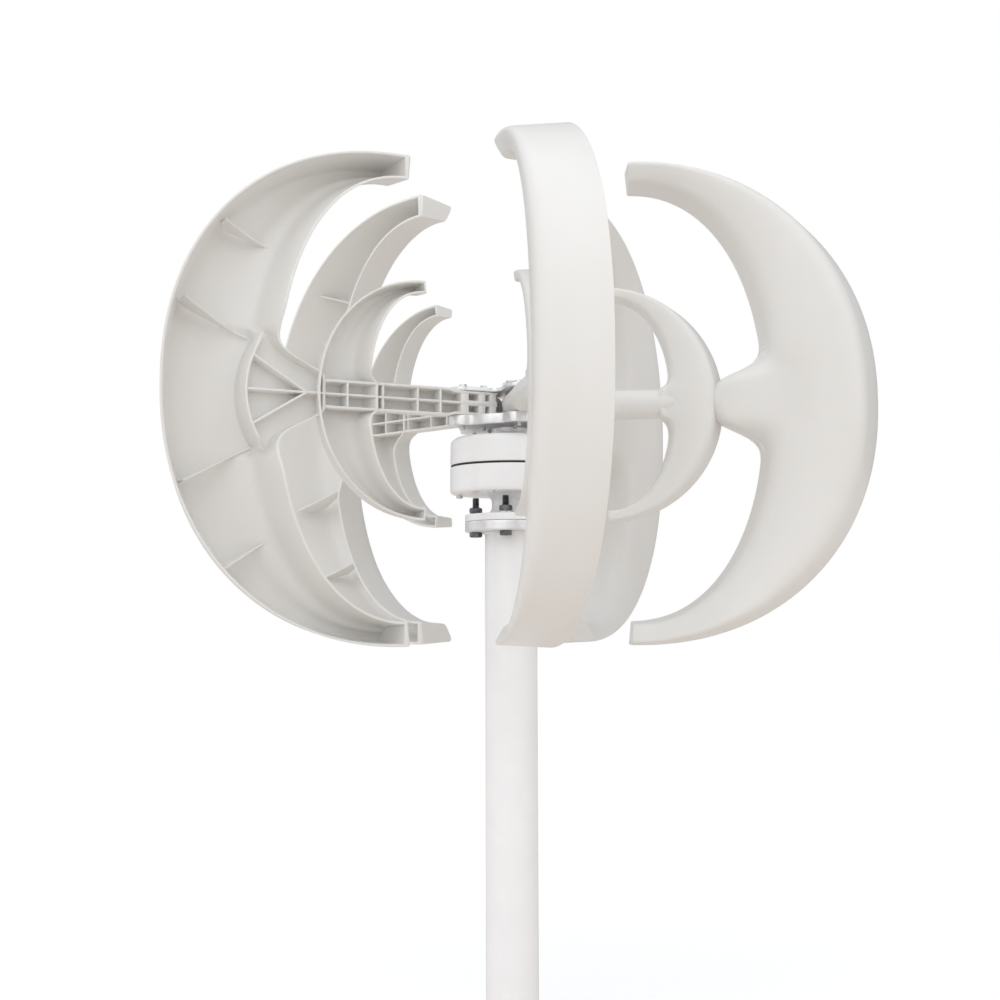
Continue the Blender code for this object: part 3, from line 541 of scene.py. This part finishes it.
def blade_parts():
    """All closed parts of one blade in its own (radius, trailing, height): two
    crescents, the arm, its long rib and root pad, the root blocks, the cross
    ribs, the fan's curved rib and slanting ribs, and the webs.  Every rib
    starts a little below its floor and ends just under the arm's face."""
    parts = crescent_shell(OUTER, True) + crescent_shell(INNER, False)
    parts.append(arm_shell())
    low, top, start = ARM_FLOOR_T - 1.0, ARM_FACE_T - 0.05, ARM_ROOT_R + 0.3
    parts.append(rib(straight((start, 0.0), (FAN_R - 1.0, 0.0), 30), RIB_T, low, top - 0.1))
    parts.append(rib(straight((start, 0.0), (ROOT_PAD_END_R, 0.0), 8), ROOT_PAD_T, low, top - 0.4))
    half = ARM_ROOT_HALF - SIDE_INSET
    for r_a, r_b in ROOT_BLOCKS:
        middle = (r_a + r_b) / 2.0
        parts.append(rib(straight((middle, -half), (middle, half)), r_b - r_a, low, top - 0.5))
    half = ARM_HALF - SIDE_INSET
    for r in ARM_CROSS_RIBS:
        parts.append(rib(straight((r, -half), (r, half)), RIB_T, low, top - 0.2))
    h = np.linspace(-FAN_RIB_H, FAN_RIB_H, 61)
    run_out = 9.0 * smooth_step((np.abs(h) - 50.0) / (FAN_RIB_H - 50.0))
    arc = np.stack([fan_arc_r(h), h], axis=-1)
    parts.append(rib(arc, RIB_T + 0.4, np.interp(np.abs(h), *FAN_RIB_LOW), top - 0.3 - run_out))
    for sign in (-1.0, 1.0):
        end = (fan_arc_r(STAR_H) - 0.5, sign * STAR_H)
        parts.append(rib(straight((STAR_R, 0.0), end, 16), RIB_T, FAN_FLOOR_T - 1.5, top - 0.15))
    parts += [gusset(foot, head, crest) for foot, head, crest in GUSSETS]
    return parts


def gusset(foot, head, crest_t):
    """Web across the hollow: its lower edge follows the rounded corner between
    floor and outer wall, read from HOLLOW_CORNER by the distance inwards of the
    outer arc, and rises by GUSSET_RAMP near the foot; its free edge falls from
    crest_t at the outer wall to the foot as 0.25 m + 0.75 m^1.6."""
    line = straight(foot, head, 40)
    share_r = (line[:, 0] - OUTER["arc_r"]) / OUTER["arc_h"]
    share_h = line[:, 1] / OUTER["arc_h"]
    power = OUTER["out_pow"]
    level = (np.abs(share_r) ** power + np.abs(share_h) ** power) ** (1.0 / power)
    inwards = OUTER["arc_h"] * (1.0 - level)
    scale = 0.80 if abs(head[1]) > 140.0 else 0.96
    keep = inwards > 5.2
    line, inwards = line[keep], inwards[keep]
    low = np.interp(inwards / scale, *HOLLOW_CORNER) - 0.6
    low = np.maximum(low, -35.0 + 7.0 * np.clip((inwards - 20.0) / 60.0, 0.0, 1.0))
    from_foot = GUSSET_RAMP[0][0] + np.linalg.norm(line - line[0], axis=1)
    low = np.maximum(low, np.interp(from_foot, *GUSSET_RAMP))
    m = np.linspace(0.0, 1.0, len(line))
    crest = -27.0 + (crest_t + 27.0) * (0.25 * m + 0.75 * m ** 1.6)
    return rib(line, GUSSET_T, low, np.maximum(crest, low + 1.2), 0.5)


def build_blades():
    """Five equal blades turned round the rotor axis."""
    parts = blade_parts()
    for k in range(BLADE_COUNT):
        turn = math.radians(FIRST_BLADE_DEG - 90.0 + LOBE_PITCH_DEG * k)
        place = Matrix.Translation((0.0, 0.0, ROTOR_Z * MM)) @ Matrix.Rotation(turn, 4, "Z")
        node = "blade_%d" % (k + 1)
        stand_in("moulded_" + node, parts, "blade_plastic", "rotor", node, place)


build_blades()


# ----------------------------------------------------- turned and cast pieces
def hex_radius(angle, across_flats):
    """Distance from a hexagon's middle to its side at each angle: half the
    flats over the cosine of the angle from that side's middle."""
    off = np.mod(angle, np.pi / 3.0) - np.pi / 6.0
    return across_flats / 2.0 / np.cos(off)


def hex_body(centre, turn, across_flats, low, high, bore, chamfers):
    """Hexagon bar over angle and profile: flats met by a cone at each
    chamfered end, closed down to a bore or to a point on the axis."""
    angle = np.linspace(0.0, 2.0 * np.pi, 96, endpoint=False)
    flats = hex_radius(angle, across_flats)
    corner = across_flats / 2.0 / math.cos(math.pi / 6.0)
    tip = across_flats * 0.47
    start, stop = (0.8 * chamfer for chamfer in chamfers)
    steps = np.linspace(0.0, 1.0, 5)
    rows = [(np.minimum(flats, tip), low)]
    rows += [(np.minimum(flats, tip + (corner - tip) * m), low + start * (0.12 + 0.88 * m))
             for m in steps]
    rows += [(np.minimum(flats, tip + (corner - tip) * m), high - stop * (0.12 + 0.88 * m))
             for m in steps[::-1]]
    rows.append((np.minimum(flats, tip), high))
    inside = max(bore, AXIS_HOLE)
    rows += [(inside + 0.4 + 0 * flats, high - 0.02), (inside + 0 * flats, high - 0.4),
             (inside + 0 * flats, low + 0.4), (inside + 0.4 + 0 * flats, low + 0.02)]
    return lifted(rows, angle, centre, turn)


def lifted(rows, angle, centre, turn=0.0):
    """Closed ring of (radius per angle, z) rows set round a vertical axis."""
    grid = np.stack([np.stack([centre[0] + r * np.cos(angle + turn),
                               centre[1] + r * np.sin(angle + turn),
                               z + 0.0 * angle], axis=-1) for r, z in rows], axis=1)
    return shell(grid, close_u=True)


def threaded_rod(centre, radius, low, high, pitch, core=0.35):
    """Rod whose radius falls and rises along a helix: a triangle wave of
    (height over pitch minus turns), faded out at both ends."""
    angle = np.linspace(0.0, 2.0 * np.pi, 40, endpoint=False)
    heights = np.arange(low, high + 1e-6, pitch / 6.0)
    depth = 0.54 * pitch
    rows = [(core + 0 * angle, low), (radius - depth + 0 * angle, low)]
    for z in heights[1:-1]:
        phase = np.mod((z - low) / pitch - angle / (2.0 * np.pi), 1.0)
        wave = 1.0 - np.abs(2.0 * phase - 1.0)
        fade = min(1.0, (z - low) / pitch, (high - z) / pitch)
        rows.append((radius - depth * (1.0 - fade * np.minimum(1.0, wave * 1.25)), z))
    rows += [(radius - depth + 0 * angle, high), (core + 0 * angle, high)]
    return lifted(rows, angle, centre)


def four_spots(pitch_r, start_deg):
    """Numbered plan positions a quarter turn apart on one pitch circle."""
    return enumerate([polar(pitch_r, start_deg + 90.0 * k) for k in range(4)], start=1)


def ring_profile(outside, inside, low, high):
    """Four corners of a plain ring's section, from its lower outer edge."""
    return [(outside, low), (outside, high), (inside, high), (inside, low)]


def build_mast():
    """Mast tube and flange: rounded ring sections turned round the axis, with
    the weld bead between them."""
    tube = lathe(ring_profile(MAST_R, MAST_R - MAST_WALL, 0.0, MAST_TOP),
                 [0.6, 0.6, 0.5, 0.5], 160, inner=12)
    stand_in("painted_mast_tube", [tube], "white_paint", "mast", "mast_tube")
    stand_in("painted_weld_bead", [weld_bead()], "white_paint", "mast", "mast_weld")
    ring = lathe(ring_profile(FLANGE_R, FLANGE_BORE_R, *MAST_FLANGE_Z),
                 [1.6, 0.8, 0.6, 0.6], 128, inner=4)
    stand_in("cast_mast_flange", [ring], "cast_aluminium", "mast", "mast_flange")


def weld_bead():
    """Fillet bead round the mast: a bulging section whose size ripples 90
    times round the tube, like overlapping weld pools."""
    angle = np.linspace(0.0, 2.0 * np.pi, 720, endpoint=False)
    ripple = 0.12 * np.sin(90.0 * angle) + 0.05 * np.sin(7.0 * angle + 1.0)
    base, top = MAST_R + 0.25, MAST_FLANGE_Z[0] - 0.25
    leg = 2.6 + ripple
    rows = [(base + 0 * angle, top + 0 * angle), (base + 0 * angle, top - leg)]
    for m in np.linspace(0.1, 0.9, 6):
        swell = 0.75 + 0.16 * math.sin(math.pi * m) * 1.6
        turn = m * math.pi / 2.0
        rows.append((base + leg * math.sin(turn) * swell, top - leg * math.cos(turn) * swell))
    rows.append((base + leg, top + 0 * angle))
    grid = np.stack([np.stack([r * np.cos(angle), r * np.sin(angle), z], axis=-1)
                     for r, z in rows], axis=1)
    return shell(grid, close_u=True)


def build_flange_fasteners():
    """Four M8 bolts from below with washers and nuts on top: chamfered hexagon
    bars, helical rods and rounded rings, each nut turned a little further."""
    head_top = MAST_FLANGE_Z[0] - GAP
    washer_low = FOOT_FLANGE_Z[1] + GAP
    nut_low = washer_low + M8_WASHER_T + GAP
    for k, spot in four_spots(FLANGE_BOLT_PITCH_R, FLANGE_BOLT_START_DEG):
        turn = math.atan2(spot[1], spot[0])
        bolt = [hex_body(spot, turn, M8_FLATS, head_top - M8_HEAD, head_top, 0.0, (1.4, 0.2)),
                threaded_rod(spot, 4.0, head_top - 0.2, M8_END_Z, 1.25)]
        stand_in("black_flange_bolt_%d" % k, bolt, "dark_steel", "mast", "flange_bolt_%d" % k)
        washer = lathe(ring_profile(8.0, 4.6, washer_low, washer_low + M8_WASHER_T),
                       [0.4, 0.4, 0.2, 0.2], 64, spot)
        stand_in("zinc_flange_washer_%d" % k, [washer], "zinc_steel", "mast",
                 "flange_washer_%d" % k)
        nut = hex_body(spot, turn + 0.3 * k, M8_FLATS, nut_low, nut_low + M8_NUT, 4.5, (1.3, 1.3))
        stand_in("black_flange_nut_%d" % k, [nut], "dark_steel", "mast", "flange_nut_%d" % k)


def build_housing():
    """Generator body with its neck and foot flange, lid, seam gasket and
    screws: filleted profiles of (r, z) turned round the axis."""
    low, top = FOOT_FLANGE_Z
    bottom, seam = HOUSING_Z
    body = lathe([(FLANGE_R, low), (FLANGE_R, top), (NECK_R + 5.0, top + 0.5), (NECK_R, 588.0),
                  (NECK_R, 600.0), (NECK_R + 7.0, bottom), (HOUSING_R - 1.6, bottom),
                  (HOUSING_R, bottom + 3.0), (HOUSING_R, seam), (CAVITY_R, seam),
                  (CAVITY_R, CAVITY_Z[0]), (22.8, CAVITY_Z[0]), (22.8, 621.0), (17.8, 621.0),
                  (17.8, 610.7), (10.0, 610.7), (10.0, 584.0), (FLANGE_BORE_R, low + 8.0),
                  (FLANGE_BORE_R, low)],
                 [0.8, 1.4, 4.0, 5.0, 5.0, 4.0, 2.0, 2.0, 0.9, 0.5, 3.0, 1.0, 0.5, 0.5, 0.5, 0.5,
                  0.5, 0.5, 0.5], 192, inner=2)
    stand_in("painted_lower_housing", [body], "white_paint", "mast", "lower_housing")
    seam, top = LID_Z
    lid = lathe([(HOUSING_R, seam), (HOUSING_R - 0.6, top - 5.0), (HOUSING_TOP_R, top),
                 (15.6, top), (15.6, 667.3), (21.3, 667.3), (21.3, 655.0), (25.3, 655.0),
                 (25.3, CAVITY_Z[1]), (CAVITY_R - 4.0, CAVITY_Z[1]), (CAVITY_R, CAVITY_Z[1] - 4.0),
                 (CAVITY_R, seam)],
                [0.9, 3.0, 3.0, 0.6, 0.4, 0.4, 0.4, 0.6, 1.5, 1.5, 1.5, 0.5], 192, inner=2)
    stand_in("painted_upper_housing", [lid], "white_paint", "mast", "upper_housing")
    ring = lathe(ring_profile(HOUSING_R - 0.8, CAVITY_R + 0.2, HOUSING_Z[1] + 0.2, LID_Z[0] - 0.2),
                 [0.6, 0.6, 0.3, 0.3], 160)
    stand_in("rubber_housing_gasket", [ring], "black_rubber", "mast", "housing_gasket")
    for k, spot in four_spots(HOUSING_SCREW_PITCH_R, HOUSING_SCREW_START_DEG):
        screw = [pan_head(spot, 4.0, HOUSING_Z[0] - 3.0, HOUSING_Z[0] - 0.2),
                 threaded_rod(spot, M5_R - 0.05, HOUSING_Z[0] - 0.6, HOUSING_SCREW_END_Z, M5_PITCH)]
        stand_in("zinc_housing_screw_%d" % k, screw, "zinc_steel", "mast",
                 "housing_screw_%d" % k)


def pan_head(spot, radius, low, high):
    """Round screw head facing down: rings of one radius outside it, and rings
    at a hexagon's side in its socket."""
    angle = np.linspace(0.0, 2.0 * np.pi, 72, endpoint=False)
    flats = hex_radius(angle, 2.6)
    rows = [(AXIS_HOLE + 0 * angle, high), (radius + 0 * angle, high),
            (radius + 0 * angle, low + 0.9), (radius - 0.25 + 0 * angle, low + 0.3),
            (radius - 0.9 + 0 * angle, low), (flats + 0.1, low), (flats, low + 0.1),
            (flats, low + 1.5), (AXIS_HOLE + 0 * angle, low + 1.6)]
    return lifted(rows, angle, spot)


def lobed_radius(angle_deg, valley):
    """Plan radius of the hub plates at angles from the first blade: a circle at
    each lobe's end, straight flanks beside its middle line, and a round core
    in the valleys, joined as the ninth root of the sum of ninth powers."""
    half_pitch = LOBE_PITCH_DEG / 2.0
    off = np.abs(np.mod(angle_deg + half_pitch, LOBE_PITCH_DEG) - half_pitch)
    a = np.radians(np.maximum(off, 1e-4))
    half_end = math.degrees(math.asin(LOBE_END_R / LOBE_CENTRE_R))
    reach = LOBE_CENTRE_R * np.sin(a)
    end = LOBE_CENTRE_R * np.cos(a) + np.sqrt(np.clip(LOBE_END_R ** 2 - reach ** 2, 0.0, None))
    flank = LOBE_END_R / np.sin(a)
    radius = np.where(off <= half_end, end, flank)
    soft = 9.0
    top = (radius ** soft + valley ** soft) ** (1.0 / soft)
    return np.minimum(top, LOBE_CENTRE_R + LOBE_END_R)


def lobed_plate(low, high, edge, bore, valley):
    """Plate over angle and profile: the lobed outline with rounded edges."""
    angle = np.linspace(0.0, 360.0, 720, endpoint=False)
    outline = lobed_radius(angle, valley)
    turn = np.radians(angle + FIRST_BLADE_DEG - 90.0)
    quarter = np.linspace(0.0, 1.0, 5) * math.pi / 2.0
    rows = [(outline - edge * (1.0 - math.sin(q)), low + edge * (1.0 - math.cos(q)))
            for q in quarter]
    rows += [(outline - edge * (1.0 - math.cos(q)), high - edge * (1.0 - math.sin(q)))
             for q in quarter]
    rows += [(bore + (outline - edge - bore) * k, high) for k in (0.75, 0.5, 0.25)]
    rows += [(bore + 0.5 + 0 * outline, high), (bore + 0 * outline, high - 0.5),
             (bore + 0 * outline, low + 0.5), (bore + 0.5 + 0 * outline, low)]
    rows += [(bore + (outline - edge - bore) * k, low) for k in (0.25, 0.5, 0.75)]
    return lifted(rows, turn, (0.0, 0.0))


def build_hub():
    """Lobed plates, boss, bolts, washer, nut and stepped shaft on one axis."""
    low, high = HUB_PLATE_Z
    boss = lathe([(20.0, BOSS_LOW_Z), (21.5, low + 2.0), (10.5, low + 2.0), (10.5, BOSS_LOW_Z)],
                 [0.8, 0.4, 0.4, 0.5], 96)
    plate = [lobed_plate(low, high, 1.4, 10.45, BOTTOM_VALLEY_R), boss]
    stand_in("cast_hub_bottom_plate", plate, "cast_aluminium", "rotor", "hub_bottom_plate")
    low, high = TOP_PLATE_Z
    plate = [lobed_plate(low, high, 0.8, 6.45, LOBE_VALLEY_R)]
    stand_in("cast_hub_top_plate", plate, "cast_aluminium", "rotor", "hub_top_plate")
    head = high + GAP
    spots = [polar(r, FIRST_BLADE_DEG + LOBE_PITCH_DEG * k) for k in range(BLADE_COUNT)
             for r in HUB_BOLT_RADII]
    for k, spot in enumerate(spots, start=1):
        bolt = [hex_body(spot, 0.4 * k, 8.0, head, head + 3.8, 0.0, (0.2, 0.9)),
                threaded_rod(spot, M5_R, HUB_PLATE_Z[0] - 3.5, head + 0.3, M5_PITCH)]
        stand_in("zinc_hub_bolt_%d" % k, bolt, "zinc_steel", "rotor", "hub_bolt_%d" % k)
    washer = lathe(ring_profile(12.0, 6.45, head, head + 2.0), [0.5, 0.5, 0.3, 0.3], 96)
    stand_in("zinc_hub_washer", [washer], "zinc_steel", "rotor", "hub_washer")
    nut = hex_body((0.0, 0.0), 0.35, 18.0, head + 2.3, head + 9.3, 6.6, (1.8, 1.8))
    stand_in("zinc_hub_nut", [nut], "zinc_steel", "rotor", "hub_nut")
    foot, step, neck, end = SHAFT_Z
    body = [lathe([(7.2, foot), (7.2, step), (10.0, step + 0.2), (10.0, neck), (0.3, neck),
                   (0.3, foot)], [0.7, 0.2, 0.8, 0.8, 0.01, 0.01], 96),
            threaded_rod((0.0, 0.0), 6.0, neck - 0.5, end, 1.75)]
    stand_in("zinc_shaft", body, "zinc_steel", "rotor", "shaft")


def finish_inner_nodes():
    """The sealed pieces keep their CAD shapes and take finished materials."""
    for row in frame["record"]["subparts"]:
        node = frame["nodes"][row["node"]]
        if node.hide_render:
            continue
        node.data.materials.clear()
        node.data.materials.append(FINISHES[row["material_slot"]])


build_mast()
build_flange_fasteners()
build_housing()
build_hub()
finish_inner_nodes()


# ----------------------------------------------------------- floor and light
FLOOR_REACH = 60.0                     # metres
FLOOR_SEEN, FLOOR_BOUNCE = (0.84, 0.84, 0.84, 1.0), (0.80, 0.735, 0.675, 1.0)
FLOOR_GLOW = (0.30, 0.30, 0.30, 1.0)
SKY_COLOUR = (0.955, 0.975, 1.0, 1.0)
KEY_SIDE = (-0.45, -0.84, 0.24)        # direction the light mostly comes from
WORLD_FAR, WORLD_NEAR = 0.34, 1.28     # its strength opposite to and at that side


def soft_lamp(name, size, power, spot, target, colour):
    """Square soft lamp pointed at a target, in metres."""
    data = bpy.data.lights.new(name, "AREA")
    data.shape = "SQUARE"
    data.size = size
    data.energy = power
    data.color = colour
    lamp = bpy.data.objects.new(name, data)
    bpy.context.scene.collection.objects.link(lamp)
    lamp.location = spot
    lamp.rotation_mode = "QUATERNION"
    aim = Vector(target) - Vector(spot)
    lamp.rotation_quaternion = aim.to_track_quat("-Z", "Y")


def pale_floor():
    """Level pale floor far wider than the view.  Seen directly it also glows a
    little, so that only the object's soft shadow shows on it; the light it
    throws back on the object is warmer and dimmer."""
    mesh = bpy.data.meshes.new("pale_floor")
    mesh.from_pydata([(-FLOOR_REACH, -FLOOR_REACH, 0.0), (FLOOR_REACH, -FLOOR_REACH, 0.0),
                      (FLOOR_REACH, FLOOR_REACH, 0.0), (-FLOOR_REACH, FLOOR_REACH, 0.0)],
                     [], [(0, 1, 2, 3)])
    floor = bpy.data.objects.new("pale_floor", mesh)
    bpy.context.scene.collection.objects.link(floor)
    mat = bpy.data.materials.new("pale_floor_paper")
    mat.use_nodes = True
    tree = mat.node_tree
    shader = tree.nodes["Principled BSDF"]
    shader.inputs["Roughness"].default_value = 0.9
    tint = tree.nodes.new("ShaderNodeMix")
    tint.data_type = "RGBA"
    tint.inputs[6].default_value = FLOOR_BOUNCE
    tint.inputs[7].default_value = FLOOR_SEEN
    tree.links.new(tint.outputs[2], shader.inputs["Base Color"])
    rays = tree.nodes.new("ShaderNodeLightPath")
    tree.links.new(rays.outputs["Is Camera Ray"], shader.inputs["Emission Strength"])
    tree.links.new(rays.outputs["Is Camera Ray"], tint.inputs[0])
    shader.inputs["Emission Color"].default_value = FLOOR_GLOW
    mesh.materials.append(mat)


def studio_world():
    """Sky that is white to the camera; for the object it grades softly from
    WORLD_FAR to WORLD_NEAR with the cosine of the angle to KEY_SIDE."""
    world = bpy.data.worlds.new("studio_world")
    bpy.context.scene.world = world
    world.use_nodes = True
    tree = world.node_tree
    tree.nodes.clear()
    out = tree.nodes.new("ShaderNodeOutputWorld")
    seen = tree.nodes.new("ShaderNodeBackground")
    seen.inputs["Color"].default_value = (1.0, 1.0, 1.0, 1.0)
    seen.inputs["Strength"].default_value = 1.0
    lit = tree.nodes.new("ShaderNodeBackground")
    lit.inputs["Color"].default_value = SKY_COLOUR
    coords = tree.nodes.new("ShaderNodeTexCoord")
    facing = tree.nodes.new("ShaderNodeVectorMath")
    facing.operation = "DOT_PRODUCT"
    facing.inputs[1].default_value = Vector(KEY_SIDE).normalized()
    grade = tree.nodes.new("ShaderNodeMapRange")
    grade.inputs["From Min"].default_value = -1.0
    grade.inputs["To Min"].default_value = WORLD_FAR
    grade.inputs["To Max"].default_value = WORLD_NEAR
    tree.links.new(coords.outputs["Generated"], facing.inputs[0])
    tree.links.new(facing.outputs["Value"], grade.inputs["Value"])
    tree.links.new(grade.outputs["Result"], lit.inputs["Strength"])
    rays = tree.nodes.new("ShaderNodeLightPath")
    mix = tree.nodes.new("ShaderNodeMixShader")
    tree.links.new(rays.outputs["Is Camera Ray"], mix.inputs[0])
    tree.links.new(lit.outputs[0], mix.inputs[1])
    tree.links.new(seen.outputs[0], mix.inputs[2])
    tree.links.new(mix.outputs[0], out.inputs["Surface"])


pale_floor()
studio_world()
soft_lamp("overhead_lamp", 3.0, 7.0, (-0.7, -1.0, 3.0), (0.0, 0.0, 0.7), (1.0, 0.99, 0.97))
soft_lamp("right_lamp", 1.8, 4.0, (2.3, -1.5, 1.6), (0.1, 0.0, 0.7), (1.0, 0.985, 0.96))


# --------------------------------------------------------------------- camera
CAMERA_PLACE = (0.0, -1.7911, 0.462)
CAMERA_LENS = 55.87
CAMERA_YAW, CAMERA_PITCH, CAMERA_ROLL = 0.40, 4.39, 0.166


def aim_camera():
    """Camera on the -Y side, looking slightly up at the rotor."""
    yaw, pitch, roll = (math.radians(a) for a in (CAMERA_YAW, CAMERA_PITCH, CAMERA_ROLL))
    ahead = Vector((-math.sin(yaw) * math.cos(pitch), math.cos(yaw) * math.cos(pitch),
                    math.sin(pitch)))
    right = Vector((math.cos(yaw), math.sin(yaw), 0.0))
    up = right.cross(ahead)
    right, up = (right * math.cos(roll) - up * math.sin(roll),
                 up * math.cos(roll) + right * math.sin(roll))
    data = bpy.data.cameras.new("view_camera")
    data.lens = CAMERA_LENS
    data.sensor_width = 36.0
    data.clip_end = 200.0
    camera = bpy.data.objects.new("view_camera", data)
    bpy.context.scene.collection.objects.link(camera)
    turn = Matrix((right, up, -ahead)).transposed().to_4x4()
    camera.matrix_world = Matrix.Translation(CAMERA_PLACE) @ turn
    bpy.context.scene.camera = camera


aim_camera()
bpy.context.scene.view_settings.view_transform = "Standard"
